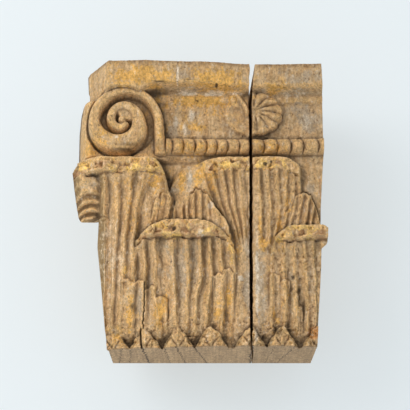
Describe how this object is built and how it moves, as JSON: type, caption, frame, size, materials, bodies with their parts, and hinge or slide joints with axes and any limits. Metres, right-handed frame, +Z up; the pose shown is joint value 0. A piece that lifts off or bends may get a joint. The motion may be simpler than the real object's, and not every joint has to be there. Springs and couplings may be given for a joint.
{
  "type": "corbel bracket",
  "caption": "Worn wooden corbel bracket cut from a carved capital: corner scroll, beads, rosette and fluted leaves on a flat-backed block split by an open joint.",
  "frame": {"origin": "centre of the flat back, where it meets the wall", "axes": "+Z up the carving, +Y out of the back into the wall, +X to the viewer's right of the carved front; the carving faces -Y"},
  "size_m": [0.2561, 0.1256, 0.2901],
  "materials": {
    "left_block": "worn, with remains of ochre ground and gilding",
    "right_block": "worn, with remains of ochre ground and gilding"
  },
  "bodies": {
    "root": {"left_block": "left_block", "right_block": "right_block"}
  },
  "joints": []
}
